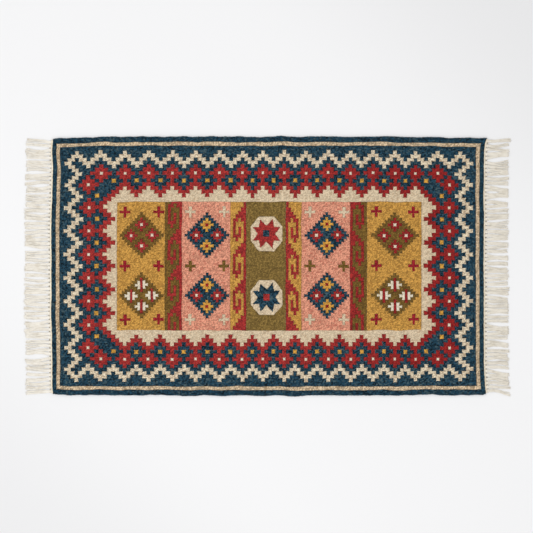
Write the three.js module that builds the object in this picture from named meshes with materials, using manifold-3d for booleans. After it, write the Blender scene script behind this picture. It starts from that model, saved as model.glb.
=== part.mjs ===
// A hand-woven flat rug with fringed ends, lying flat with its face up.
// Millimetres. +X runs along the rug, +Y across it and +Z up. The origin is under the middle of the rug.
// The weft colour areas are sleeves round six groups of warps, which run from one end band to the other.
// The rug is in two halves that meet at a fold line across the middle, at x = 0.
import * as THREE from 'three';
import { mergeVertices } from 'three/addons/utils/BufferGeometryUtils.js';
import Module from 'manifold-3d';

// Woven body
const LENGTH = 1530; // over the two end bands, without the fringe
const WIDTH = 910;
const THICKNESS = 6;

// Borders, from the outside in
const END_BAND = 5; // twined strip at each short end
const OUTER_BAND_AT_ENDS = 15;
const OUTER_BAND_AT_SIDES = 19;
const GUARD_STRIPE = 13;
const MAIN_BORDER = 166;
const GROUND_AT_LEFT = 36; // the two ends were woven a little differently
const GROUND_AT_RIGHT = 25;
const GROUND_AT_SIDES = 31;

// Central panel, whose mustard panels take the length that the others leave
const OLIVE_PANEL = 140;
const OLIVE_CENTRE = -6; // the weaver's middle is a little to the left of the rug's middle
const PINK_PANEL = 171;
const INNER_HOOK_BAND = 55;
const OUTER_HOOK_BAND = 59;

// Warps
const WARP_THICKNESS = 2.4;
const WEFT_WALL = 3; // weft between a group of warps and its neighbours

// Fringe
const FRINGE_LENGTH = 95;
const FRINGE_THICKNESS = 3;
const KNOT_ROW = 7; // the knotted strip that the tassels hang from
const TASSEL_PITCH = 20;
const TASSEL_WIDTH = 13;
const TASSEL_TIP = 8;

// Clearances
const GAP = 0.3; // between neighbours that touch on the real rug
const FRINGE_GAP = 0.6; // between an end band and its fringe, where the fringe bends

const NAVY = 0x163e58;
const CREAM = 0xdec8a5;
const RED = 0xa8282d;
const MUSTARD = 0xc3943e;
const OLIVE = 0x75622a;
const PINK = 0xe19682;
const COTTON = 0xeee6d6;

const wasm = await Module();
wasm.setup();

const rug = new THREE.Group();

// A geometry as a manifold-3d solid.
function solidOf(geometry) {
  const bare = geometry.clone();
  bare.deleteAttribute('normal');
  bare.deleteAttribute('uv');
  const merged = mergeVertices(bare, 1e-4);
  return new wasm.Manifold(
    new wasm.Mesh({
      numProp: 3,
      vertProperties: merged.attributes.position.array,
      triVerts: new Uint32Array(merged.index.array),
    }),
  );
}

// A manifold-3d solid as a geometry.
function geometryOf(solid) {
  const { vertProperties, triVerts } = solid.getMesh();
  const geometry = new THREE.BufferGeometry();
  geometry.setAttribute('position', new THREE.BufferAttribute(vertProperties, 3));
  geometry.setIndex(new THREE.BufferAttribute(triVerts, 1));
  const flat = geometry.toNonIndexed();
  flat.computeVertexNormals();
  return flat;
}

// A box that spans the three ranges, each given as [low, high].
function boxOver(x, y, z) {
  const size = [x, y, z].map(([low, high]) => high - low);
  const middle = [x, y, z].map(([low, high]) => (low + high) / 2);
  return new THREE.BoxGeometry(...size).translate(...middle);
}

function yarn(color, roughness = 0.95) {
  return new THREE.MeshStandardMaterial({ color, roughness, metalness: 0 });
}

function addPiece(name, geometry, color) {
  const piece = new THREE.Mesh(geometry, yarn(color));
  piece.name = name;
  rug.add(piece);
}

const grow = ([low, high], by) => [low - by, high + by];

// Grid lines. Each piece stops half a gap short of the lines round it, so the outermost lines lie half a
// gap outside the rug.
const halfLength = LENGTH / 2 + GAP / 2;
const halfWidth = WIDTH / 2 + GAP / 2;
const rings = [
  {
    name: 'outer_band',
    widths: { left: OUTER_BAND_AT_ENDS, right: OUTER_BAND_AT_ENDS, side: OUTER_BAND_AT_SIDES },
    color: NAVY,
  },
  {
    name: 'guard_stripe',
    widths: { left: GUARD_STRIPE, right: GUARD_STRIPE, side: GUARD_STRIPE },
    color: CREAM,
  },
  {
    name: 'main_border',
    widths: { left: MAIN_BORDER, right: MAIN_BORDER, side: MAIN_BORDER },
    color: NAVY,
  },
  {
    name: 'inner_ground',
    widths: { left: GROUND_AT_LEFT, right: GROUND_AT_RIGHT, side: GROUND_AT_SIDES },
    color: CREAM,
  },
];

// Warps: each group fills the width between two webs of weft, and runs the whole length of its half.
const guardLine = halfWidth - OUTER_BAND_AT_SIDES;
const groundLine = guardLine - GUARD_STRIPE - MAIN_BORDER;
const warpGroups = [
  { name: 'selvedge_warps', y: [guardLine + WEFT_WALL, halfWidth - WEFT_WALL] },
  { name: 'border_warps', y: [groundLine + WEFT_WALL, guardLine - WEFT_WALL] },
  { name: 'field_warps', y: [WEFT_WALL / 2, groundLine - WEFT_WALL] },
];
const warpHeight = [(THICKNESS - WARP_THICKNESS) / 2, (THICKNESS + WARP_THICKNESS) / 2];
const tunnels = [];

for (const { name, y } of warpGroups) {
  for (const [side, across] of [['back', y], ['front', [-y[1], -y[0]]]]) {
    const tunnelLength = [-LENGTH, LENGTH];
    tunnels.push(solidOf(boxOver(tunnelLength, grow(across, GAP), grow(warpHeight, GAP))));
    for (const [end, along] of [['left', [-LENGTH / 2, -GAP / 2]], ['right', [GAP / 2, LENGTH / 2]]]) {
      addPiece(`${end}_${side}_${name}`, boxOver(along, across, warpHeight), COTTON);
    }
  }
}

// A piece of weft between grid lines, with its tunnels for the warps.
function addWeft(name, x, y, color) {
  let weft = solidOf(boxOver(grow(x, -GAP / 2), grow(y, -GAP / 2), [0, THICKNESS]));
  for (const tunnel of tunnels) {
    weft = weft.subtract(tunnel);
  }
  addPiece(name, geometryOf(weft), color);
}

const wholeWidth = [-halfWidth, halfWidth];
addWeft('left_end_band', [-halfLength, END_BAND - halfLength], wholeWidth, COTTON);
addWeft('right_end_band', [halfLength - END_BAND, halfLength], wholeWidth, COTTON);

// Each ring of the border: a strip at each end, and a strip in each half along each side.
let outer = { left: END_BAND - halfLength, right: halfLength - END_BAND, side: halfWidth };
for (const { name, widths, color } of rings) {
  const inner = {
    left: outer.left + widths.left,
    right: outer.right - widths.right,
    side: outer.side - widths.side,
  };
  addWeft(`left_${name}`, [outer.left, inner.left], [-outer.side, outer.side], color);
  addWeft(`right_${name}`, [inner.right, outer.right], [-outer.side, outer.side], color);
  for (const [side, y] of [['back', [inner.side, outer.side]], ['front', [-outer.side, -inner.side]]]) {
    addWeft(`left_${side}_${name}`, [inner.left, 0], y, color);
    addWeft(`right_${side}_${name}`, [0, inner.right], y, color);
  }
  outer = inner;
}

// The central panel, from the olive panel outwards on each side.
const panelY = [-outer.side, outer.side];
for (const [end, sign] of [['left', -1], ['right', 1]]) {
  const widths = [
    ['inner_hook_band', INNER_HOOK_BAND, MUSTARD],
    ['pink_panel', PINK_PANEL, PINK],
    ['outer_hook_band', OUTER_HOOK_BAND, RED],
  ];
  const between = (a, b) => (a < b ? [a, b] : [b, a]);
  let line = OLIVE_CENTRE + (sign * OLIVE_PANEL) / 2;
  addWeft(`${end}_olive_panel`, between(0, line), panelY, OLIVE);
  for (const [name, width, color] of widths) {
    addWeft(`${end}_${name}`, between(line, line + sign * width), panelY, color);
    line += sign * width;
  }
  addWeft(`${end}_mustard_panel`, between(line, outer[end]), panelY, MUSTARD);
}

// A fringe: the row of knots with the tassels hanging from it, as a comb in outline.
function fringeGeometry(sign) {
  const root = LENGTH / 2 + FRINGE_GAP;
  const knots = root + KNOT_ROW;
  const tip = root + FRINGE_LENGTH;
  const count = Math.floor((WIDTH - TASSEL_WIDTH) / TASSEL_PITCH) + 1;
  const first = (-(count - 1) * TASSEL_PITCH) / 2;
  const outline = new THREE.Shape();
  outline.moveTo(root, -WIDTH / 2);
  outline.lineTo(knots, -WIDTH / 2);
  for (let i = 0; i < count; i++) {
    const y = first + i * TASSEL_PITCH;
    outline.lineTo(knots, y - TASSEL_WIDTH / 2);
    outline.lineTo(tip, y - TASSEL_TIP / 2);
    outline.lineTo(tip, y + TASSEL_TIP / 2);
    outline.lineTo(knots, y + TASSEL_WIDTH / 2);
  }
  outline.lineTo(knots, WIDTH / 2);
  outline.lineTo(root, WIDTH / 2);
  const comb = new THREE.ExtrudeGeometry(outline, { depth: FRINGE_THICKNESS, bevelEnabled: false });
  return sign > 0 ? comb : comb.rotateZ(Math.PI);
}

addPiece('left_fringe', fringeGeometry(-1), COTTON);
addPiece('right_fringe', fringeGeometry(1), COTTON);

export default rug;
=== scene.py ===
import math
import random

import bpy
import numpy as np
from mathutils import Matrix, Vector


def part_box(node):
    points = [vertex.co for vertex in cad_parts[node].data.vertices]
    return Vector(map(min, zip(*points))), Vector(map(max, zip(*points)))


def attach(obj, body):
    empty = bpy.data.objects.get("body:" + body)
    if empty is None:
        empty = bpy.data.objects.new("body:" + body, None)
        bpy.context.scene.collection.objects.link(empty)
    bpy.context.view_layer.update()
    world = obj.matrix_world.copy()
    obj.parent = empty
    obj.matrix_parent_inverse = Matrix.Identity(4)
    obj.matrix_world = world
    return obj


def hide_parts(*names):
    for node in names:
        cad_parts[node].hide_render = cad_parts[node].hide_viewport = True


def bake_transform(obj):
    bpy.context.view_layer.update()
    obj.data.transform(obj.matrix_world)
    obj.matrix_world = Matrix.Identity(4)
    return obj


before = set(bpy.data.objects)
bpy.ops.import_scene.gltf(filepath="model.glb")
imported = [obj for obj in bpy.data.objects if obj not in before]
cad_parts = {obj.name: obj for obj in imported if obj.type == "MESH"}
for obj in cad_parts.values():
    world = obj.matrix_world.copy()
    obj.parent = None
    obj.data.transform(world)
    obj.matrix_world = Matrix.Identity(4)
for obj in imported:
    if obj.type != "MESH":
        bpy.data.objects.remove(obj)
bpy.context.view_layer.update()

# Lengths are in millimetres until a mesh is made. +X runs along the rug, +Y to its back edge, +Z up.
MM = 0.001
HALF_GAP = 0.15  # the frame's pieces stop this far short of the lines between them
THICKNESS = 6.0
RIB_DEPTH = 0.6  # how far the valley between two warps sinks below their ridges
EDGE_DEPTH = 0.3  # extra depth where one yarn ends and the next begins
EDGE_INSET = 0.12
FLARE_ALONG = 0.3  # how far the weft bulges at the corner of a step, as a share of the grid's spacing
FLARE_ACROSS = 0.45
PICK = 2.8  # from one pick to the next that shows on the same rib
SCALLOP = 0.8  # how far every second bundle of picks stands out at an edge
SELVEDGE_START = 4.5  # the cord at each long side starts this far in
SELVEDGE_RADIUS = 4.6
SELVEDGE_FALL = 0.93
FOLD_HALF = 11.0  # the cloth bends within this distance of its middle
FOLD_STEP = 1.1


def frame_edge(node, axis, side):
    """The line that a frame piece stops short of: axis 0 x or 1 y, side 0 low or 1 high."""
    outwards = HALF_GAP if side else -HALF_GAP
    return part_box(node)[side][axis] / MM + outwards


# ---------------------------------------------------------------- layout

END = {"left": frame_edge("left_outer_band", 0, 0), "right": frame_edge("right_outer_band", 0, 1)}
BAND = {"left": frame_edge("left_outer_band", 0, 1), "right": frame_edge("right_outer_band", 0, 0)}
GUARD = {"left": frame_edge("left_guard_stripe", 0, 1), "right": frame_edge("right_guard_stripe", 0, 0)}
SIDE_END = frame_edge("left_back_outer_band", 1, 1)
SIDE_BAND = frame_edge("left_back_outer_band", 1, 0)
SIDE_GUARD = frame_edge("left_back_guard_stripe", 1, 0)
PANEL = {"left": frame_edge("left_mustard_panel", 0, 0), "right": frame_edge("right_mustard_panel", 0, 1)}
PANEL_SIDE = frame_edge("left_mustard_panel", 1, 1)
HALF_LENGTH = frame_edge("right_end_band", 0, 1)
HALF_WIDTH = SIDE_END

# The border is charted on cells, COLUMNS along the rug and ROWS across it.
COLUMNS = 109
ROWS = 61
DEEP = 13  # rows of cells from the border's outer edge to plain ground
HEART = 6.5  # from the border's outer edge to the middle of its flowers, which lie a little further out
HEART_OUT = {"left": 2.5, "right": 3.5, "side": 3.6}
LEFT_CELL = 13.9
RIGHT_CELL = 13.2
SIDE_CELL = 12.7
LEFT_MARGIN = 15.0  # plain navy between the guard stripe and the first cells
RIGHT_MARGIN = 10.3
SIDE_MARGIN = 16.5
FLOWER_CELLS = 6  # from one flower to the next
FIRST_FLOWER_CELL = 15.5
FIRST_FLOWER = -504.6  # the second flower along the border, whose pitch then drifts as hand work does
FLOWER_PITCHES = (83, 85, 82, 83, 82, 72, 75, 77, 79, 78, 79, 78, 71)

left_start = GUARD["left"] + LEFT_MARGIN
right_start = GUARD["right"] - RIGHT_MARGIN
side_start = SIDE_GUARD - SIDE_MARGIN
known_cells = [0, HEART, DEEP]
known_x = [
    left_start,
    left_start + HEART * LEFT_CELL - HEART_OUT["left"],
    left_start + DEEP * LEFT_CELL,
]
flower_x = FIRST_FLOWER
for number, pitch in enumerate((0,) + FLOWER_PITCHES):
    flower_x += pitch
    known_cells.append(FIRST_FLOWER_CELL + FLOWER_CELLS * number)
    known_x.append(flower_x)
known_cells += [COLUMNS - DEEP, COLUMNS - HEART, COLUMNS]
known_x += [
    right_start - DEEP * RIGHT_CELL,
    right_start - HEART * RIGHT_CELL + HEART_OUT["right"],
    right_start,
]
cell_x = np.interp(np.arange(COLUMNS + 1), known_cells, known_x)
heart_y = side_start - HEART * SIDE_CELL + HEART_OUT["side"]
deep_y = side_start - DEEP * SIDE_CELL
cell_y = np.interp(
    np.arange(ROWS + 1),
    [0, HEART, DEEP, ROWS - DEEP, ROWS - HEART, ROWS],
    [side_start, heart_y, deep_y, -deep_y, -heart_y, -side_start],
)


# ---------------------------------------------------------------- how the cloth lies

def wander(x, y, seed, shortest, longest, size, waves=7):
    """A smooth wandering offset made of a few waves in chosen lengths and random directions."""
    draw = np.random.default_rng(seed)
    total = np.zeros(np.broadcast(x, y).shape)
    for _ in range(waves):
        length = draw.uniform(shortest, longest)
        turn = draw.uniform(0, math.tau)
        phase = draw.uniform(0, math.tau)
        total += np.sin((x * math.cos(turn) + y * math.sin(turn)) * math.tau / length + phase)
    return total * size / math.sqrt(waves)


def lay(x, y):
    """Where a point of the chart lies: the corners draw in a little and no line is quite straight."""
    u = x / HALF_LENGTH
    v = y / HALF_WIDTH
    # The left end bows inwards towards both of its corners.
    left = np.clip((1 - u) / 2, 0, 1)
    bow = np.where(v > 0, 12.5 * np.maximum(v - 0.3, 0), 10 * np.maximum(-v - 0.4, 0)) * left**2
    # The right corners reach outwards, the front one with a rounded tip.
    back_corner = 12.0 * np.exp((np.abs(v) - 1) * 25) * (v > 0)
    front_corner = 8.0 * np.maximum(-v, 0) ** 9
    flare = (back_corner + front_corner) * (1 - left) ** 8
    rounded = 6.0 * np.clip(40 * (u - 0.975), 0, 1) ** 2 * np.clip(10 * (-v - 0.9), 0, 1)
    # Near the left corners the border leans outwards, over a wider stretch in its outermost rows.
    spread = 0.06 + 0.11 * np.clip(8 * (np.abs(v) - 0.76), 0, 1)
    held = np.where(v > 0, 1, np.clip(12 * (1 + u), 0, 1))
    lean = 7.2 * np.exp(-(((u + 0.84) / spread) ** 2)) * np.clip(5 * (np.abs(v) - 0.5), 0, 1) * held
    # The long sides draw in towards the ends.
    back_left = 8.5 * np.abs(np.minimum(u, 0)) ** 6
    back_right = 6.5 * np.maximum(u, 0) ** 3
    front = 2.5 * np.abs(u) ** 3
    drawn_in_y = np.where(v > 0, back_left + back_right, front) * v
    # Hand work wanders, most of all along the selvedges.
    far_x = x + bow + flare - lean + wander(x, y, 11, 90, 260, 0.8) + wander(x, y, 12, 17, 40, 0.35)
    ripple = wander(x, y, 14, 15, 34, 0.55) * (1 + v**8)
    far_y = y + rounded - drawn_in_y + wander(x, y, 13, 70, 220, 1.1) + ripple
    return far_x, far_y


def lift(x, y):
    """A slight rise of the cloth off the floor, none near the ends, where the fringe folds over."""
    calm = np.clip((600 - np.abs(x)) / 150, 0, 1) * np.clip(np.abs(x) / 60 - 0.5, 0, 1)
    near_side = np.clip((np.abs(y) / HALF_WIDTH - 0.5) * 2, 0, 1)
    wave = 0.5 + 0.5 * np.clip(wander(x, y, 15, 300, 700, 0.7), -1, 1)
    return 1.1 * wave * calm * near_side


# ---------------------------------------------------------------- grid lines

def ruled(edges, parts):
    """Splits each interval between edges into parts, given as a count or as shares of the interval.

    Returns the lines, the interval that each cell is in, and how far along it the cell's middle is.
    """
    lines = [edges[0]]
    owner = []
    share = []
    for index, part in enumerate(parts):
        cuts = part if isinstance(part, tuple) else tuple(np.arange(1, part + 1) / part)
        low, high = edges[index], edges[index + 1]
        before = 0.0
        for cut in cuts:
            lines.append(low + (high - low) * cut)
            owner.append(index)
            share.append((before + cut) / 2)
            before = cut
    return np.array(lines), np.array(owner), np.array(share)


def parts_for(edges, step):
    """How many parts of about one step each interval takes, and finer parts where the cloth folds."""
    counts = []
    for low, high in zip(edges, edges[1:]):
        in_fold = low < FOLD_HALF + 1 and high > -FOLD_HALF - 1
        wanted = FOLD_STEP if in_fold else step
        counts.append(max(1, math.ceil((high - low) / wanted - 0.2)))
    return counts


def thinned(lines, closest):
    """Sorted lines with those dropped that come too close to the one before."""
    kept = []
    for line in sorted(lines):
        if not kept or line - kept[-1] > closest:
            kept.append(line)
    return kept


# ---------------------------------------------------------------- pieces of weave

def add_mesh(name, points, faces, smooth):
    mesh = bpy.data.meshes.new(name)
    mesh.from_pydata((np.asarray(points) * MM).tolist(), [], faces)
    mesh.polygons.foreach_set("use_smooth", np.asarray(smooth, bool))
    mesh.update()
    piece = bpy.data.objects.new(name, mesh)
    bpy.context.scene.collection.objects.link(piece)
    return piece


def neighbours(cells, outside):
    """For each crossing of the grid's lines, the four cells round it, by their direction."""
    padded = np.pad(cells, 1, constant_values=outside)
    return {
        (-1, -1): padded[:-1, :-1],
        (1, -1): padded[1:, :-1],
        (-1, 1): padded[:-1, 1:],
        (1, 1): padded[1:, 1:],
    }


def unevenness(xs, ys, chart, seed, flare=1.0):
    """How far each crossing of the grid's lines is off its place.

    Where the weft turns back at the corner of a step it bulges outwards, and nothing is quite even.
    """
    draw = np.random.default_rng(seed)
    shape = (len(xs), len(ys))
    room_x = np.minimum(np.diff(xs, prepend=xs[0] - 5), np.diff(xs, append=xs[-1] + 5))[:, None]
    room_y = np.abs(np.minimum(-np.diff(ys, prepend=ys[0] + 2), -np.diff(ys, append=ys[-1] - 2)))[None, :]
    off_x = room_x * draw.uniform(-0.11, 0.11, shape)
    off_y = room_y * draw.uniform(-0.16, 0.16, shape)
    off_y[::2, 0] += SCALLOP
    off_y[::2, -1] -= SCALLOP
    around = neighbours(chart, -1)
    for (step_x, step_y), lone in around.items():
        others = [cell for step, cell in around.items() if step != (step_x, step_y)]
        alone = (others[0] == others[1]) & (others[1] == others[2]) & (lone != others[0])
        alone &= (lone >= 0) & (others[0] >= 0)
        off_x -= step_x * alone * room_x * FLARE_ALONG * flare
        off_y += step_y * alone * room_y * FLARE_ACROSS * flare
    return off_x, off_y


def grid_solid(name, xs, ys, mask, top_of, bottom_of, uneven=None, seams=()):
    """A closed solid over the cells of mask, which has one entry for each column and row of cells.

    top_of and bottom_of give the heights from the grid's line numbers and whether a point is on the rim.
    ys runs from the back edge to the front. Seams are the numbers of the lines along which two ends meet.
    """
    padded = np.pad(mask, 1)
    around = neighbours(mask, False)
    rising = around[-1, -1] & around[1, 1] & ~around[1, -1] & ~around[-1, 1]
    falling = around[1, -1] & around[-1, 1] & ~around[-1, -1] & ~around[1, 1]
    crossing = rising | falling
    ids = {}
    parts = []
    count = 0
    for variant in (0, 1):
        if variant == 0:
            used = around[-1, -1] | around[1, -1] | around[-1, 1] | around[1, 1]
        else:
            used = crossing
        shift_x = np.zeros(used.shape)
        shift_y = np.zeros(used.shape)
        whole = np.ones(used.shape, bool)
        for (step_x, step_y), there in around.items():
            counted = there & ~(crossing & ((step_x > 0) != (variant == 1)))
            shift_x += step_x * counted
            shift_y += step_y * counted
            whole &= counted
        number = np.full(used.shape, -1)
        number[used] = count + np.arange(used.sum())
        count += int(used.sum())
        ids[variant] = number
        ix, iy = np.nonzero(used)
        chart_x = xs[ix] + EDGE_INSET * np.sign(shift_x[used])
        chart_y = ys[iy] - EDGE_INSET * np.sign(shift_y[used])
        if uneven:
            chart_x += uneven[0][ix, iy]
            chart_y += uneven[1][ix, iy]
        x, y = lay(chart_x, chart_y)
        raised = lift(chart_x, chart_y)
        rim = ~whole[used]
        parts.append((x, y, raised, ix, iy, rim))
    x, y, raised, ix, iy, rim = (np.concatenate(column) for column in zip(*parts))
    top = np.stack([x, y, raised + top_of(ix, iy, rim, y)], axis=1)
    bottom = np.stack([x, y, raised + bottom_of(ix, iy, rim, y)], axis=1)

    cx, cy = np.nonzero(mask)
    corner = {}
    for step_x in (0, 1):
        for step_y in (0, 1):
            at_x, at_y = cx + step_x, cy + step_y
            second = crossing[at_x, at_y] & (step_x == 0)
            corner[step_x, step_y] = np.where(second, ids[1][at_x, at_y], ids[0][at_x, at_y])
    upper = np.stack([corner[0, 0], corner[1, 0], corner[1, 1], corner[0, 1]], axis=1)
    lower = upper[:, ::-1] + count
    walls = []
    for (step_x, step_y), (a, b) in {
        (0, -1): ((0, 0), (1, 0)),
        (1, 0): ((1, 0), (1, 1)),
        (0, 1): ((1, 1), (0, 1)),
        (-1, 0): ((0, 1), (0, 0)),
    }.items():
        bare = ~padded[cx + 1 + step_x, cy + 1 + step_y]
        first, last = corner[a][bare], corner[b][bare]
        walls.append(np.stack([first + count, last + count, last, first], axis=1))
    # The rows run towards the front, so each face is turned over to look outwards.
    faces = np.concatenate([upper, lower, *walls])[:, ::-1]
    smooth = np.ones(len(faces), bool)
    smooth[len(upper) + len(lower):] = False
    piece = add_mesh(name, np.concatenate([top, bottom]), faces.tolist(), smooth)
    # The valley marks, between ribs and along seams, tell the yarn material where to paint shade.
    in_valley = (iy % 2 == 0) | np.isin(ix, seams)
    for label, values in (("valley", in_valley * 1.0), ("rib", iy / 2), ("pick", xs[ix] / PICK)):
        attribute = piece.data.attributes.new(label, "FLOAT", "POINT")
        attribute.data.foreach_set("value", np.tile(values, 2).astype(np.float32))
    return piece


def selvedge_share(y):
    """1 over most of the width, falling to 0 round the cord at each long side."""
    out = np.clip((np.abs(y) - (HALF_WIDTH - SELVEDGE_START)) / SELVEDGE_RADIUS, 0, 1)
    return np.sqrt(1 - out**2 * SELVEDGE_FALL)


def weave_top(ix, iy, rim, y):
    sink = RIB_DEPTH * (iy % 2 == 0) + EDGE_DEPTH * rim
    return THICKNESS / 2 + (THICKNESS / 2 - sink) * selvedge_share(y)


def weave_bottom(ix, iy, rim, y):
    sink = RIB_DEPTH * (iy % 2 == 0) + EDGE_DEPTH * rim
    return THICKNESS / 2 - (THICKNESS / 2 - sink) * selvedge_share(y)


# ---------------------------------------------------------------- charts

NAVY, CREAM, RED, WHITE, DOT, GROUND, OUTER, GUARDING = range(8)
GOLD, OLIVE, PINK, MUSTARD, CRIMSON, MOSS = range(8, 14)


FIRST_HEART = 9  # the first column or row of cells, after the corner's, with a flower's heart in it


def border_yarn(column, row):
    """The yarn of one cell of the border, counted from the back left corner of the charted cells.

    Its depth counts inwards, from -3 for the outer band, and its step is how far along it is from the
    middle of the nearest flower.
    """
    depth = min(column, COLUMNS - 1 - column, row, ROWS - 1 - row)
    if depth < 0:
        return {-3: OUTER, -2: GUARDING, -1: NAVY}[depth]
    along = column if depth in (row, ROWS - 1 - row) else row
    step = (along - FIRST_HEART) % FLOWER_CELLS
    step = min(step, FLOWER_CELLS - step)
    from_end = min(column, COLUMNS - 1 - column)
    from_side = min(row, ROWS - 1 - row)
    # The inside of each corner is cut off by a stepped slope.
    if depth >= 9 and from_end <= 14 and from_side <= 14:
        reach = from_end + from_side
        if reach <= 22:
            return NAVY
        return RED if reach <= 24 else GROUND
    if depth <= 3:
        return CREAM if step in (depth - 1, depth) else NAVY
    if depth == 4:
        return CREAM if step == 3 else RED if step == 0 else NAVY
    if depth == 6:
        return WHITE if step == 0 else RED if step <= 2 else NAVY
    if depth <= 9:
        if depth == 8 and step == 3:
            return DOT
        return RED if step <= (0 if depth == 8 else 1) else NAVY
    if depth == 10:
        return GROUND if step == 0 else RED if step <= 2 else NAVY
    if depth == 11:
        return GROUND if step <= 1 else RED
    if depth == 12:
        return RED if step == 3 else GROUND
    return GROUND


# One unit of a hook band, back to front, with its plain stripe (the last column) on the side of the rug's
# middle panel in the inner bands.
HOOKS = (
    ("....RR", 2),
    ("...RRR", 2),
    ("..RRRR", 2),
    (".RR.RR", 2),
    (".R...R", 3),
    (".R.R.R", 4),
    (".RRR.R", 2),
    ("..R..R", 2),
    (".....R", 1),
)
HOOK_ROW = 6.37

DIAMOND_ROW = 9.42
FIELD_RIBS = 96

# A plus sign, each size measured from its middle.
PLUS_REACH = 18.5
PLUS_RISE = 19.0
PLUS_BAR = 5.0
PLUS_UPPER = 5.8
PLUS_LOWER = 4.3

QUARTER_STAR = ((48.5, 24), (26.5, 22.5), (21.5, 51.5))
STAR_TOP = (0, 28)
STAR_SIDE = (31, 0)
STAR = (
    *QUARTER_STAR,
    STAR_TOP,
    *((-x, y) for x, y in reversed(QUARTER_STAR)),
    (-STAR_SIDE[0], 0),
    *((-x, -y) for x, y in QUARTER_STAR),
    (0, -STAR_TOP[1]),
    *((x, -y) for x, y in reversed(QUARTER_STAR)),
    STAR_SIDE,
)


def diamond_cells(x, y, centre, width):
    u = np.rint((x - centre[0]) / width)
    v = np.rint((y - centre[1]) / DIAMOND_ROW)
    return u, v


def within(outline, x, y):
    """Which points lie inside an outline."""
    inside = np.zeros(x.shape, bool)
    for (ax, ay), (bx, by) in zip(outline, outline[1:] + outline[:1]):
        if ay == by:
            continue
        crosses = ((ay > y) != (by > y)) & (x < ax + (bx - ax) * (y - ay) / (by - ay))
        inside ^= crosses
    return inside


def paint_diamond(chart, x, y, centre, width, yarn, flowers):
    """A stepped diamond with four small flowers: flowers gives the yarns (petal, heart) of each."""
    u, v = diamond_cells(x, y, centre, width)
    chart[np.abs(u) + np.abs(v) <= 8] = yarn
    for (at_u, at_v), (petal, heart, barred) in flowers.items():
        reach = np.abs(u - at_u) + np.abs(v - at_v)
        chart[reach <= 2] = petal
        if barred:
            chart[(np.abs(v - at_v) <= 2) & (u == at_u)] = heart
        else:
            chart[reach == 0] = heart


def paint_plus(chart, x, y, centre, yarn):
    """A plus sign whose lower arm is narrower than its upper one, as the weaver made them."""
    dx, dy = x - centre[0], y - centre[1]
    bar = (np.abs(dy) < PLUS_BAR) & (np.abs(dx) < PLUS_REACH)
    upper = (dy >= 0) & (dy < PLUS_RISE) & (np.abs(dx) < PLUS_UPPER)
    lower = (dy < 0) & (dy > -PLUS_RISE) & (np.abs(dx) < PLUS_LOWER)
    chart[bar | upper | lower] = yarn


def paint_hooks(chart, x, y, low, high, first, mirrored, whole_units, yarn, ground):
    """A hook band between two lines, with the start of one of its units at first.

    With whole_units that one is the backmost, and the last one at the front is left plain.
    """
    share = (x - low) / (high - low)
    column = np.clip((share * 6).astype(int), 0, 5)
    if mirrored:
        column = 5 - column
    drawn = np.array([[mark == "R" for mark in line] for line, count in HOOKS for _ in range(count)])
    row = np.floor((first - y) / HOOK_ROW).astype(int)
    red = drawn[row % len(drawn), column]
    if whole_units:
        red[row < 0] = column[row < 0] == 5
        last = row >= 3 * len(drawn) + 6
        red[last] = column[last] > 0
    chart[:] = np.where(red, yarn, ground)


# ---------------------------------------------------------------- materials

def linear(value):
    value /= 255
    return value / 12.92 if value <= 0.04045 else ((value + 0.055) / 1.055) ** 2.4


def tint(rgb, scale=1.0):
    return tuple(min(1.0, linear(value) * scale) for value in rgb) + (1.0,)


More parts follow.
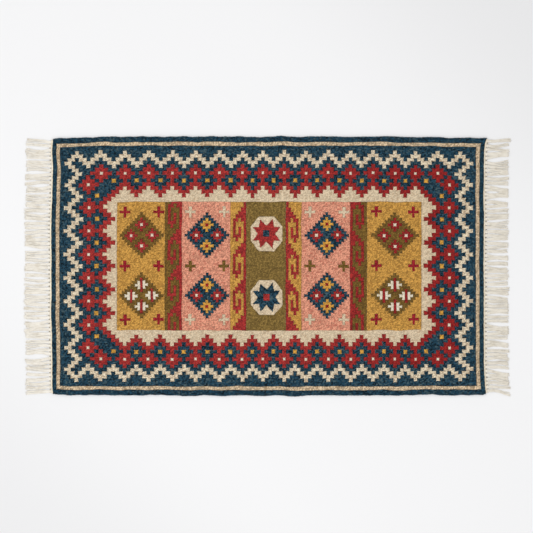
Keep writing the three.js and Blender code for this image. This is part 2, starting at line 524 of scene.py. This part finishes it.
class Nodes:
    """Short names for making and joining a material's nodes."""

    def __init__(self, name):
        self.material = bpy.data.materials.new(name)
        self.material.use_nodes = True
        self.tree = self.material.node_tree
        self.tree.nodes.clear()
        self.shader = self.tree.nodes.new("ShaderNodeBsdfPrincipled")
        out = self.tree.nodes.new("ShaderNodeOutputMaterial")
        self.tree.links.new(self.shader.outputs["BSDF"], out.inputs["Surface"])
        self.place = self.tree.nodes.new("ShaderNodeTexCoord").outputs["Object"]

    def join(self, source, target):
        self.tree.links.new(source, target)

    def noise(self, per_metre, detail=2.0, roughness=0.6, shift=0.0, turn=0.0):
        """Noise whose grain has its own size along x, y and z."""
        mapping = self.tree.nodes.new("ShaderNodeMapping")
        mapping.inputs["Scale"].default_value = per_metre
        mapping.inputs["Location"].default_value = (shift, shift * 0.7, 0)
        mapping.inputs["Rotation"].default_value = (0, 0, turn)
        self.join(self.place, mapping.inputs["Vector"])
        node = self.tree.nodes.new("ShaderNodeTexNoise")
        node.inputs["Scale"].default_value = 1.0
        node.inputs["Detail"].default_value = detail
        node.inputs["Roughness"].default_value = roughness
        self.join(mapping.outputs["Vector"], node.inputs["Vector"])
        return node.outputs["Fac"]

    def attribute(self, label):
        node = self.tree.nodes.new("ShaderNodeAttribute")
        node.attribute_name = label
        return node.outputs["Fac"]

    def scatter(self, *numbers):
        """A random value of its own for each set of three whole numbers."""
        together = self.tree.nodes.new("ShaderNodeCombineXYZ")
        for number, socket in zip(numbers, together.inputs):
            if isinstance(number, (int, float)):
                socket.default_value = number
            else:
                self.join(number, socket)
        node = self.tree.nodes.new("ShaderNodeTexWhiteNoise")
        node.noise_dimensions = "3D"
        self.join(together.outputs["Vector"], node.inputs["Vector"])
        return node.outputs["Value"]

    def hump(self, value):
        """1 midway between two whole numbers, falling to 0 at each of them."""
        part = self.math("FRACT", value)
        side = self.math("ABSOLUTE", self.math("SUBTRACT", self.math("MULTIPLY", part, 2.0), 1.0))
        return self.math("SUBTRACT", 1.0, self.math("POWER", side, 2.5))

    def math(self, operation, a, b=0.0):
        node = self.tree.nodes.new("ShaderNodeMath")
        node.operation = operation
        for value, socket in zip((a, b), node.inputs):
            if isinstance(value, (int, float)):
                socket.default_value = value
            else:
                self.join(value, socket)
        return node.outputs[0]

    def ramp(self, fac, stops, between="LINEAR"):
        node = self.tree.nodes.new("ShaderNodeValToRGB")
        node.color_ramp.interpolation = between
        for _ in range(len(stops) - 2):
            node.color_ramp.elements.new(0.5)
        for element, (position, colour) in zip(node.color_ramp.elements, stops):
            element.position = position
            element.color = colour
        self.join(fac, node.inputs["Fac"])
        return node.outputs["Color"]

    def mix(self, fac, a, b):
        node = self.tree.nodes.new("ShaderNodeMix")
        node.data_type = "RGBA"
        for value, socket in zip((fac, a, b), (node.inputs[0], node.inputs[6], node.inputs[7])):
            if isinstance(value, (int, float, tuple)):
                socket.default_value = value
            else:
                self.join(value, socket)
        return node.outputs[2]


def yarn_material(name, rgb, fleck, contrast, shift, second_lot=None):
    """Hand-spun yarn packed over warps: a pick shows as a bead on every second rib, each of its own shade.

    The second dye lot takes over towards the right end of the rug.
    """
    n = Nodes(name)
    rib = n.attribute("rib")
    rib_number = n.math("FLOOR", rib)
    pick = n.math("ADD", n.attribute("pick"), n.math("MULTIPLY", rib_number, 0.5))
    pick = n.math("ADD", pick, n.math("MULTIPLY", n.noise((90, 300, 40), detail=1.0, shift=shift), 0.9))
    # The two plies of a bead lie aslant and differ in shade.
    slant = n.math("MULTIPLY", n.math("FRACT", pick), 0.8)
    ply_number = n.math("FLOOR", n.math("ADD", n.math("MULTIPLY", rib, 2.0), slant))
    bead = n.scatter(ply_number, n.math("FLOOR", pick), 10 * shift)
    speckle = n.noise((130, 130, 40), detail=0.0, shift=shift + 3)
    picks = n.noise((230, 18, 40), detail=0.0, shift=shift)
    ribs = n.noise((18, 230, 40), detail=0.0, shift=shift + 5)
    patches = n.noise((22, 9, 10), detail=3.0, shift=shift + 7)
    blend = n.math("MULTIPLY", bead, 0.52)
    for grain, weight in ((speckle, 0.24), (picks, 0.12), (ribs, 0.1), (patches, 0.02)):
        blend = n.math("ADD", blend, n.math("MULTIPLY", grain, weight))

    def shades(of):
        return n.ramp(
            blend,
            (
                (0.36, tint(of, 1 - contrast)),
                (0.5, tint(of)),
                (0.64, tint(of, 1 + 1.2 * contrast)),
            ),
        )

    shade = shades(rgb)
    if second_lot:
        along = n.tree.nodes.new("ShaderNodeSeparateXYZ")
        n.join(n.place, along.inputs["Vector"])
        turned = n.ramp(along.outputs["X"], ((0.1, (0, 0, 0, 1)), (0.5, (1, 1, 1, 1))))
        shade = n.mix(turned, shade, shades(second_lot))
    # A fleck of another shade covers two beads in a row.
    pair = n.math("FLOOR", n.math("MULTIPLY", pick, 0.5))
    flecks = n.scatter(rib_number, pair, 10 * shift + 5)
    fleck_share = n.ramp(flecks, ((0.78, (0, 0, 0, 1)), (0.95, (0.8, 0.8, 0.8, 1))))
    colour = n.mix(fleck_share, shade, tint(fleck))
    # Painted shade: between two beads, and in the valleys between ribs and along seams, the colour is
    # darkened for the shade that falls there.
    round_bead = n.hump(pick)
    painted_shade = n.math("MULTIPLY", n.math("SUBTRACT", 1.0, round_bead), 0.3)
    painted_shade = n.math("MAXIMUM", painted_shade, n.math("MULTIPLY", n.attribute("valley"), 0.36))
    colour = n.mix(painted_shade, colour, tint(rgb, 0.42))
    n.join(colour, n.shader.inputs["Base Color"])
    rough = n.math("ADD", n.math("MULTIPLY", speckle, 0.16), 0.82)
    n.join(rough, n.shader.inputs["Roughness"])
    n.shader.inputs["Specular IOR Level"].default_value = 0.1
    n.shader.inputs["Sheen Weight"].default_value = 0.05
    n.shader.inputs["Sheen Roughness"].default_value = 0.5
    height = n.math("ADD", n.math("MULTIPLY", round_bead, 0.7), n.math("MULTIPLY", n.hump(rib), 0.8))
    fuzz = n.noise((700, 900, 400), detail=2.0, shift=shift)
    height = n.math("ADD", height, n.math("MULTIPLY", fuzz, 0.5))
    bump = n.tree.nodes.new("ShaderNodeBump")
    bump.inputs["Strength"].default_value = 0.5
    bump.inputs["Distance"].default_value = 0.6 * MM
    n.join(height, bump.inputs["Height"])
    n.join(bump.outputs["Normal"], n.shader.inputs["Normal"])
    return n.material


def cotton_material(name, rgb, dark, along, shift):
    """Undyed cotton: along is the direction of the yarn's fine ply marks."""
    n = Nodes(name)
    grain = n.noise((60, 420, 60) if along == "x" else (420, 60, 60), detail=2.0, shift=shift)
    patches = n.noise((28, 40, 20), detail=2.0, shift=shift + 5)
    blend = n.math("ADD", n.math("MULTIPLY", grain, 0.55), n.math("MULTIPLY", patches, 0.45))
    colour = n.ramp(blend, ((0.32, tint(dark)), (0.52, tint(rgb)), (0.7, tint(rgb, 1.06))))
    n.join(colour, n.shader.inputs["Base Color"])
    rough = n.math("ADD", n.math("MULTIPLY", grain, 0.14), 0.8)
    n.join(rough, n.shader.inputs["Roughness"])
    n.shader.inputs["Specular IOR Level"].default_value = 0.2
    n.shader.inputs["Sheen Weight"].default_value = 0.1
    bump = n.tree.nodes.new("ShaderNodeBump")
    bump.inputs["Strength"].default_value = 0.4
    bump.inputs["Distance"].default_value = 0.3 * MM
    n.join(grain, bump.inputs["Height"])
    n.join(bump.outputs["Normal"], n.shader.inputs["Normal"])
    return n.material


# yarn: (slot, colour, fleck colour, contrast)
DYES = {
    NAVY: ("navy_wool", (28, 56, 71), (84, 104, 108), 0.94),
    OUTER: ("navy_wool", (24, 52, 67), (74, 94, 98), 0.94),
    CREAM: ("cream_wool", (220, 201, 174), (180, 152, 120), 0.4),
    GUARDING: ("cream_wool", (200, 177, 146), (160, 132, 100), 0.5),
    WHITE: ("cream_wool", (230, 219, 196), (208, 194, 164), 0.14),
    GROUND: ("cream_wool", (215, 195, 165), (188, 160, 128), 0.25),
    RED: ("red_wool", (158, 49, 46), (126, 40, 41), 0.5),
    CRIMSON: ("red_wool", (148, 34, 42), (122, 28, 38), 0.44),
    DOT: ("mustard_wool", (206, 153, 66), (180, 130, 56), 0.36),
    GOLD: ("mustard_wool", (210, 155, 68), (186, 128, 52), 0.36),
    MUSTARD: ("mustard_wool", (194, 145, 70), (160, 112, 50), 0.42),
    OLIVE: ("olive_wool", (127, 103, 54), (98, 76, 40), 0.46),
    MOSS: ("olive_wool", (115, 88, 40), (88, 66, 34), 0.44),
    PINK: ("pink_wool", (216, 147, 121), (190, 104, 86), 0.4),
}
materials = {}
for order, (yarn, (slot_name, rgb, fleck, contrast)) in enumerate(DYES.items()):
    second_lot = (142, 34, 33) if yarn == RED else None
    name = f"{slot_name}_{order}"
    materials[yarn] = yarn_material(name, rgb, fleck, contrast, 0.37 * order, second_lot)
warp_cotton = cotton_material("cotton_warp", (226, 220, 206), (190, 182, 165), "x", 1.0)
twining_cotton = {
    "left": cotton_material("cotton_twining_1", (254, 243, 220), (232, 216, 186), "y", 2.0),
    "right": cotton_material("cotton_twining_2", (240, 228, 206), (214, 198, 170), "y", 2.4),
}
# A darker cotton, painted shade for the gaps between the fringe's knots.
knot_gap_shade_cotton = cotton_material("cotton_knot_gap_shade", (172, 161, 140), (134, 122, 102), "y", 2.8)
# The right fringe's cotton is a little darker than the left's: painted shade, for the shade among its denser
# strands.
fringe_cotton = {
    "left": cotton_material("cotton_fringe_1", (240, 235, 225), (214, 205, 188), "x", 3.0),
    "right": cotton_material("cotton_fringe_2", (232, 226, 214), (204, 195, 178), "x", 3.4),
}

cloth = []


def finish_weave(piece, yarn, nodes=(), body=None):
    """Gives a woven piece its yarn, and lets it move with a body, or else bakes its place into its mesh."""
    piece.data.materials.append(materials[yarn])
    if body:
        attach(piece, body)
    else:
        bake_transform(piece)
    if nodes:
        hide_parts(*nodes)
    cloth.append(piece)


def ring_nodes(ring):
    names = [f"{end}_{ring}" for end in ("left", "right")]
    return names + [f"{end}_{side}_{ring}" for end in ("left", "right") for side in ("back", "front")]


# ---------------------------------------------------------------- border

edges_x = [END["left"], BAND["left"], GUARD["left"], *cell_x, GUARD["right"], BAND["right"], END["right"]]
edges_y = [SIDE_END, SIDE_BAND, SIDE_GUARD, *cell_y, -SIDE_GUARD, -SIDE_BAND, -SIDE_END]
parts_y = [8, 4, 8] + [6] * ROWS + [8, 4, 8]
parts_x = parts_for(edges_x, 6.7)
# A flower's heart is narrower than its cell, so lines are added at the heart's edges.
for column in [6, COLUMNS - 7, *range(FIRST_HEART, COLUMNS - FIRST_HEART + 1, FLOWER_CELLS)]:
    if parts_x[column + 3] == 2:
        parts_x[column + 3] = (0.17, 0.5, 0.83, 1.0)
# The guard stripe is two threads wide at the ends too.
parts_x[1] = parts_x[-2] = (0.42, 0.5, 0.58, 1.0)
border_x, owner_x, share_x = ruled(edges_x, parts_x)
guard_seams = [np.flatnonzero(owner_x == end)[0] + 2 for end in (1, len(edges_x) - 3)]
border_y, owner_y, share_y = ruled(edges_y, parts_y)
by_cell = np.array(
    [[border_yarn(column, row) for row in range(-3, ROWS + 3)] for column in range(-3, COLUMNS + 3)]
)
border = by_cell[owner_x][:, owner_y]
# A flower's heart doesn't fill its cell.
round_heart = (np.abs(share_x - 0.5) > 0.34)[:, None] | (np.abs(share_y - 0.5) > 0.34)[None, :]
border[(border == WHITE) & round_heart] = RED

# The ground runs up to the central panel, whose edges fall between the charted lines.
middle_x = (border_x[:-1] + border_x[1:]) / 2
middle_y = (border_y[:-1] + border_y[1:]) / 2
inside_x = (middle_x > PANEL["left"]) & (middle_x < PANEL["right"])
inside_y = np.abs(middle_y) < PANEL_SIDE
border[np.ix_(inside_x, inside_y)] = -1


def moved_to(lines, wanted):
    """Moves the line nearest to the wanted place onto it."""
    nearest = int(np.argmin(np.abs(lines - wanted)))
    lines[nearest] = wanted


for wanted in PANEL.values():
    moved_to(border_x, wanted)
for wanted in (PANEL_SIDE, -PANEL_SIDE):
    moved_to(border_y, wanted)

uneven = unevenness(border_x, border_y, border, 21)
for name, yarn, ring in (
    ("outer_band_weave", OUTER, "outer_band"),
    ("guard_stripe_weave", GUARDING, "guard_stripe"),
    ("border_navy_weave", NAVY, "main_border"),
    ("border_zigzag_weave", CREAM, None),
    ("border_red_weave", RED, None),
    ("border_flower_hearts", WHITE, None),
    ("border_mustard_dots", DOT, None),
    ("inner_ground_weave", GROUND, "inner_ground"),
):
    seams = guard_seams if yarn == GUARDING else ()
    piece = grid_solid(name, border_x, border_y, border == yarn, weave_top, weave_bottom, uneven, seams)
    finish_weave(piece, yarn, ring_nodes(ring) if ring else ())


# ---------------------------------------------------------------- central panel

field_y = np.linspace(PANEL_SIDE, -PANEL_SIDE, 2 * FIELD_RIBS + 1)
PLUS_ROWS = (191.5, 0.0, -188.5)
PLUS_EDGES = (-PLUS_REACH, -PLUS_UPPER, -PLUS_LOWER, PLUS_LOWER, PLUS_UPPER, PLUS_REACH)
UPPER, LOWER = 108.0, -104.0
FLOWER_PLACES = ((4, 0), (-4, 0), (0, 4), (0, -4))


def panel_chart(name, ground, motif_edges, step=4.7):
    """The lines and the empty chart of one panel, whose lines follow its motifs."""
    low, high = frame_edge(name, 0, 0), frame_edge(name, 0, 1)
    inner = [edge for edge in motif_edges if low + 1.2 < edge < high - 1.2]
    edges = [low, *thinned(inner, 1.0), high]
    xs = ruled(edges, parts_for(edges, step))[0]
    x, y = np.meshgrid((xs[:-1] + xs[1:]) / 2, (field_y[:-1] + field_y[1:]) / 2, indexing="ij")
    return xs, x, y, np.full(x.shape, ground)


def weave_panel(name, xs, chart, ground, names, nodes, body=None, flare=1.0):
    uneven = unevenness(xs, field_y, chart, len(cloth), flare)
    for yarn, suffix in names.items():
        mask = chart == yarn
        if mask.any():
            piece = grid_solid(f"{name}_{suffix}", xs, field_y, mask, weave_top, weave_bottom, uneven)
            finish_weave(piece, yarn, nodes if yarn == ground else (), body)


def diamond_edges(centre, width):
    return [centre + width * (step + 0.5) for step in range(-9, 9)]


def diamond_panel(name, body, ground, centre, width, pluses):
    """A mustard or pink panel: two stepped diamonds, one above the other, between plus signs.

    width is that of one step of a diamond, and pluses are the places of the two rows of plus signs.
    """
    motif_edges = diamond_edges(centre, width)
    plus_edges = [at + edge for at in pluses for edge in PLUS_EDGES]
    motif_edges = [
        edge for edge in motif_edges if all(abs(edge - other) > 1.6 for other in plus_edges)
    ] + plus_edges
    xs, x, y, chart = panel_chart(name, ground, motif_edges)
    if ground == MUSTARD:
        flower = {place: (RED, WHITE, False) for place in FLOWER_PLACES}
        paint_diamond(chart, x, y, (centre, UPPER), width, MOSS, flower)
        barred = {place: (WHITE, RED, True) for place in FLOWER_PLACES}
        paint_diamond(chart, x, y, (centre, LOWER), width, MOSS, barred)
        plus_yarns = (CRIMSON, CRIMSON, CRIMSON)
    else:
        flower = {place: (RED, WHITE, False) for place in FLOWER_PLACES[:2]}
        flower |= {place: (GOLD, CRIMSON, False) for place in FLOWER_PLACES[2:]}
        paint_diamond(chart, x, y, (centre, UPPER), width, NAVY, flower)
        paint_diamond(chart, x, y, (centre, LOWER), width, NAVY, flower)
        plus_yarns = (GROUND, MOSS, GROUND)
    for row, yarn in zip(PLUS_ROWS, plus_yarns):
        for at in pluses:
            paint_plus(chart, x, y, (at, row), yarn)
    names = {ground: "weave", NAVY: "diamonds", MOSS: "olive_motifs", RED: "red_motifs"}
    names |= {WHITE: "hearts", GOLD: "gold_flowers", CRIMSON: "crimson_motifs", GROUND: "cream_pluses"}
    weave_panel(name, xs, chart, ground, names, (name,), body)


diamond_panel("left_mustard_panel", "left_half", MUSTARD, centre=-443.0, width=9.15, pluses=(-501.5, -383.5))
diamond_panel("right_mustard_panel", "right_half", MUSTARD, centre=448.0, width=9.7, pluses=(382.5, 513.5))
diamond_panel("left_pink_panel", "left_half", PINK, centre=-213.0, width=9.15, pluses=(-272.5, -153.5))
diamond_panel("right_pink_panel", "right_half", PINK, centre=209.0, width=9.2, pluses=(148.5, 268.0))

# The olive panel: an octagon in each half of the width, with an eight-pointed star in it.
olive_low = frame_edge("left_olive_panel", 0, 0)
olive_high = frame_edge("right_olive_panel", 0, 1)
OCTAGON_REACH = 64.0  # past the octagons' ends, as far as the lines of the weave stay close together
OCTAGON_HALF = (57, 61)
OCTAGON_FLAT = 26.5  # half of each straight stretch at its back and front
OCTAGON_SLOPE = 1.2
SQUARE_HALF = (10.2, 12)
olive_edges = [olive_low, -OCTAGON_REACH, -FOLD_HALF - 1.5, FOLD_HALF + 1.5, OCTAGON_REACH - 5, olive_high]
olive_steps = (4.0, 2.1, FOLD_STEP, 2.1, 4.0)
olive_parts = [max(1, round((b - a) / c)) for a, b, c in zip(olive_edges, olive_edges[1:], olive_steps)]
olive_x = ruled(olive_edges, olive_parts)[0]
x, y = np.meshgrid((olive_x[:-1] + olive_x[1:]) / 2, (field_y[:-1] + field_y[1:]) / 2, indexing="ij")
chart = np.full(x.shape, OLIVE)
for centre, star, square in (((-3.5, 113.0), RED, NAVY), ((-3.5, -111.0), NAVY, RED)):
    dx, dy = x - centre[0], y - centre[1]
    cut = np.maximum(0, np.abs(dx) - OCTAGON_FLAT) * OCTAGON_SLOPE
    chart[(np.abs(dx) < OCTAGON_HALF[0]) & (np.abs(dy) < OCTAGON_HALF[1] - cut)] = GROUND
    chart[within(STAR, dx, dy)] = star
    chart[(np.abs(dx) < SQUARE_HALF[0]) & (np.abs(dy) < SQUARE_HALF[1])] = square
names = {OLIVE: "weave", GROUND: "octagons", RED: "red_star", NAVY: "navy_star"}
olive_nodes = ("left_olive_panel", "right_olive_panel")
weave_panel("olive_panel", olive_x, chart, OLIVE, names, olive_nodes, flare=0.2)

for name, ground, first, mirrored, whole_units in (
    ("left_outer_hook_band", MOSS, 129.0, False, False),
    ("left_inner_hook_band", MUSTARD, 208.4, False, True),
    ("right_inner_hook_band", MUSTARD, 204.5, True, True),
    ("right_outer_hook_band", MOSS, 124.5, True, False),
):
    low, high = frame_edge(name, 0, 0), frame_edge(name, 0, 1)
    xs, x, y, chart = panel_chart(name, ground, np.linspace(low, high, 7), step=5.0)
    paint_hooks(chart, x, y, low, high, first, mirrored, whole_units, RED, ground)
    body = f"{name.split('_')[0]}_half"
    weave_panel(name, xs, chart, ground, {ground: "weave", RED: "hooks"}, (name,), body)


# ---------------------------------------------------------------- warps

WARP_HALF = 1.15
WARP_COUNT = 200
WARP_VALLEY = 0.5  # how far each side dips between two warps
WARP_INSET = 4  # from the outermost warps to the long sides
warp_nodes = [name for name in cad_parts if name.endswith("_warps")]
warp_edges = [END["left"], -FOLD_HALF - 1, FOLD_HALF + 1, END["right"]]
warp_x = ruled(warp_edges, [14, 20, 14])[0]
warp_y = np.linspace(HALF_WIDTH - WARP_INSET, WARP_INSET - HALF_WIDTH, 2 * WARP_COUNT + 1)


def warp_top(ix, iy, rim, y):
    return THICKNESS / 2 + WARP_HALF - WARP_VALLEY * (iy % 2 == 0)


def warp_bottom(ix, iy, rim, y):
    return THICKNESS / 2 - WARP_HALF + WARP_VALLEY * (iy % 2 == 0)


every_cell = np.ones((len(warp_x) - 1, len(warp_y) - 1), bool)
warps = grid_solid("warps", warp_x, warp_y, every_cell, warp_top, warp_bottom)
warps.data.materials.append(warp_cotton)
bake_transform(warps)
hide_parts(*warp_nodes)


# ---------------------------------------------------------------- end bands and fringe

def tube(points, radii, sides, turns=None, lobes=0.0):
    """The rings and faces of a closed tube along points; with lobes it looks like two plies twisted."""
    points = np.asarray(points, float)
    along = np.gradient(points, axis=0)
    along /= np.linalg.norm(along, axis=1)[:, None]
    across = np.cross(along, (0.0, 0.0, 1.0))
    across /= np.linalg.norm(across, axis=1)[:, None]
    up = np.cross(across, along)
    angle = np.arange(sides) * math.tau / sides
    turn = np.zeros(len(points)) if turns is None else np.asarray(turns)
    reach = radii[:, None] * (1 + lobes * np.cos(2 * (angle[None, :] - turn[:, None])))
    rings = (
        points[:, None, :]
        + (reach * np.cos(angle))[:, :, None] * across[:, None, :]
        + (reach * np.sin(angle))[:, :, None] * up[:, None, :]
    )
    vertices = rings.reshape(-1, 3)
    faces = []
    for ring in range(len(points) - 1):
        here, there = ring * sides, (ring + 1) * sides
        for side in range(sides):
            after = (side + 1) % sides
            faces.append((here + side, here + after, there + after, there + side))
    faces.append(tuple(range(sides))[::-1])
    last = (len(points) - 1) * sides
    faces.append(tuple(last + side for side in range(sides)))
    return vertices, faces


class Heap:
    """Gathers tubes into one mesh."""

    def __init__(self):
        self.vertices = []
        self.faces = []
        self.count = 0

    def add(self, vertices, faces):
        self.faces += [tuple(index + self.count for index in face) for face in faces]
        self.vertices.append(vertices)
        self.count += len(vertices)

    def piece(self, name):
        return add_mesh(name, np.concatenate(self.vertices), self.faces, [True] * len(self.faces))


CORD_PLY = 9.0  # one twist of the twining cord
CORD_RADIUS = 1.32
CORD_TALL = 1.55  # its height as a share of its width
CORD_INSET = 2.5  # from its ends to the long sides
CORDS = ((1.25, 3.2, 1), (3.6, 2.9, -1))  # how far out and how high each lies, and its hand of twist
for end, sign in (("left", -1), ("right", 1)):
    heap = Heap()
    band_line = END[end]
    for number, (out, high, hand) in enumerate(CORDS):
        y = np.linspace(HALF_WIDTH - CORD_INSET, CORD_INSET - HALF_WIDTH, 640)
        x, lain_y = lay(np.full(y.shape, band_line + sign * out), y)
        points = np.stack([x, lain_y, np.full(y.shape, high)], axis=1)
        turns = hand * y * math.tau / CORD_PLY
        radii = np.full(len(y), CORD_RADIUS) * (1 + 0.04 * np.sin(y / 17 + number))
        vertices, faces = tube(points, radii, 8, turns, 0.24)
        vertices[:, 2] = (vertices[:, 2] - high) * CORD_TALL + high
        heap.add(vertices, faces)
    cords = heap.piece(f"{end}_twining")
    cords.data.materials.append(twining_cotton[end])
    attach(cords, f"{end}_half")
    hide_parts(f"{end}_end_band")
    cloth.append(cords)


KNOTS = 62
FRINGE_ROOT = 3.0  # the strands start this far out from the weave
KNOT_OUT = 6.3
KNOT_REACH = 3.6  # half of a knot's length
KNOT_HEIGHT = 2.7
KNOT_FLATNESS = 0.42
STRAND = 1.1  # radius of one fringe strand
STRAND_POINTS = 15
FRINGE = {"left": 99.0, "right": 91.0}
FAN = 8.0  # how far the strands nearest the corners spread outwards
LEAN = {"left": 0.0, "right": -1.5}
for end, sign in (("left", -1), ("right", 1)):
    draw = random.Random(f"{end} fringe")
    strands = Heap()
    knots = Heap()
    start = END[end] + sign * FRINGE_ROOT
    pitch = 2 * (HALF_WIDTH - 4) / KNOTS
    lean = 0.0
    for number in range(KNOTS):
        knot_y = HALF_WIDTH - 4 - pitch * (number + 0.5) + draw.uniform(-0.8, 0.8)
        lean = 0.35 * lean + draw.uniform(-6.5, 6.5) + LEAN[end]
        root_x, root_y = (float(value) for value in lay(np.array(start), np.array(knot_y)))
        knot_x = root_x + sign * KNOT_OUT
        # The knot: a short fat wrap, lying across the strands.
        steps = np.linspace(-1, 1, 7)
        bulge = np.sqrt(1 - (steps * 0.86) ** 2)
        middle = np.zeros(steps.shape)
        knot_line = [knot_x + sign * steps * KNOT_REACH, root_y + middle, KNOT_HEIGHT + middle]
        points = np.stack(knot_line, axis=1)
        vertices, faces = tube(points, bulge * draw.uniform(5.4, 6.3), 10, lobes=0.05)
        vertices[:, 2] = KNOT_HEIGHT + (vertices[:, 2] - KNOT_HEIGHT) * KNOT_FLATNESS
        knots.add(vertices, faces)
        threads = draw.choice((7, 8, 8, 9))
        spread = draw.uniform(9.0, 15.0)
        sway = draw.uniform(-3.8, 3.8)
        curl = draw.uniform(0, math.tau)
        reach = FRINGE[end] - 6 + draw.uniform(-4.0, 2.0)
        for thread in range(threads):
            across = (thread + 0.5) / threads - 0.5
            length = reach + draw.uniform(-3.0, 1.5)
            stray = draw.uniform(-0.9, 0.9) if draw.random() < 0.85 else draw.uniform(-5.0, 5.0)
            fan = FAN * (knot_y / HALF_WIDTH) ** 7
            tip_y = root_y + across * spread + lean + fan + stray
            own_curl = curl + draw.uniform(-0.3, 0.3)
            high = 1.6 + 0.5 * (thread % 2) + draw.uniform(0, 0.2)
            path = []
            for step in range(STRAND_POINTS):
                t = step / (STRAND_POINTS - 1)
                ease = t**1.6
                along_x = root_x + sign * t * length
                leave = min(1.0, max(0.0, (t * length - 8) / 14))
                near_y = root_y + across * (8.0 + 1.5 * leave)
                side_y = near_y + (tip_y - near_y) * ease
                side_y += leave * (sway * math.sin(t * 4.5 + own_curl) - sway * math.sin(own_curl))
                side_y += leave * 0.25 * math.sin(t * 19 + 3 * own_curl)
                rise = 3.0 + (high - 3.0) * min(1.0, t * length / 26)
                path.append((along_x, side_y, rise + 0.12 * math.sin(t * 23 + own_curl)))
            radii = np.full(STRAND_POINTS, STRAND)
            radii[-3:] *= (1.12, 1.2, 0.55)
            vertices, faces = tube(path, radii * draw.uniform(0.88, 1.1), 6)
            strands.add(vertices, faces)
    # Painted shade: a dark thread laid behind the knots, seen only between them, where it stands for the
    # shadow in the gaps between knots.
    knot_gap_shade = Heap()
    y = np.linspace(HALF_WIDTH - 5, 5 - HALF_WIDTH, 200)
    x, lain_y = lay(np.full(y.shape, start + sign * 6.0), y)
    points = np.stack([x, lain_y, np.full(y.shape, 2.4)], axis=1)
    knot_gap_shade.add(*tube(points, np.full(len(y), 1.35), 6))
    for heap, name in (
        (strands, f"{end}_fringe_strands"),
        (knots, f"{end}_fringe_knots"),
        (knot_gap_shade, f"{end}_fringe_tying_thread"),
    ):
        piece = heap.piece(name)
        piece.data.materials.append(knot_gap_shade_cotton if heap is knot_gap_shade else fringe_cotton[end])
        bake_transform(piece)
        if heap is strands:
            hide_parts(f"{end}_fringe")


# ---------------------------------------------------------------- floor, light and camera

bpy.ops.mesh.primitive_plane_add(size=60, location=(0, 0, -0.0002))
floor = bpy.context.object
floor.name = "floor"
n = Nodes("floor_paint_and_shade")
n.shader.inputs["Roughness"].default_value = 0.9
n.shader.inputs["Specular IOR Level"].default_value = 0.1
# Painted shade: the sweep is a little greyer beyond two of the rug's corners, where less light falls on it.
parts = n.tree.nodes.new("ShaderNodeSeparateXYZ")
n.join(n.place, parts.inputs["Vector"])
diagonal = n.math("ADD", parts.outputs["X"], parts.outputs["Y"])
diagonal = n.math("MULTIPLY", n.math("ABSOLUTE", diagonal), 0.22)
pale = (0.89, 0.89, 0.897, 1)
sweep_colour_and_shade = n.ramp(diagonal, ((0.16, pale), (0.42, (0.805, 0.805, 0.812, 1)), (1.0, pale)), "EASE")
n.join(sweep_colour_and_shade, n.shader.inputs["Base Color"])
floor.data.materials.append(n.material)

world = bpy.data.worlds.new("studio")
world.use_nodes = True
background = world.node_tree.nodes["Background"]
background.inputs["Strength"].default_value = 0.9
# A studio cove: a little darker near the horizon, where it meets the far floor.
direction = world.node_tree.nodes.new("ShaderNodeTexCoord")
parts = world.node_tree.nodes.new("ShaderNodeSeparateXYZ")
cove = world.node_tree.nodes.new("ShaderNodeValToRGB")
cove.color_ramp.elements[0].color = (0.9, 0.9, 0.907, 1)
cove.color_ramp.elements[1].color = (1.01, 1.01, 1.01, 1)
cove.color_ramp.elements[1].position = 0.35
world.node_tree.links.new(direction.outputs["Generated"], parts.inputs["Vector"])
world.node_tree.links.new(parts.outputs["Z"], cove.inputs["Fac"])
world.node_tree.links.new(cove.outputs["Color"], background.inputs["Color"])
bpy.context.scene.world = world

lamp = bpy.data.lights.new("soft_box", "AREA")
lamp.shape = "SQUARE"
lamp.size = 3.0
lamp.energy = 22.0
soft_box = bpy.data.objects.new("soft_box", lamp)
soft_box.location = (-1.1, -0.6, 3.1)
aim = -soft_box.location
soft_box.rotation_euler = aim.to_track_quat("-Z", "Y").to_euler()
bpy.context.scene.collection.objects.link(soft_box)

LENS = 85.0
SENSOR = 36.0
VIEW_WIDTH = 1.8735
camera_data = bpy.data.cameras.new("camera")
camera_data.lens = LENS
camera_data.sensor_width = SENSOR
camera_data.clip_end = 100.0
camera = bpy.data.objects.new("camera", camera_data)
camera.location = (-0.0037, -0.0016, THICKNESS * MM + VIEW_WIDTH * LENS / SENSOR)
bpy.context.scene.collection.objects.link(camera)
bpy.context.scene.camera = camera
bpy.context.scene.view_settings.view_transform = "Standard"
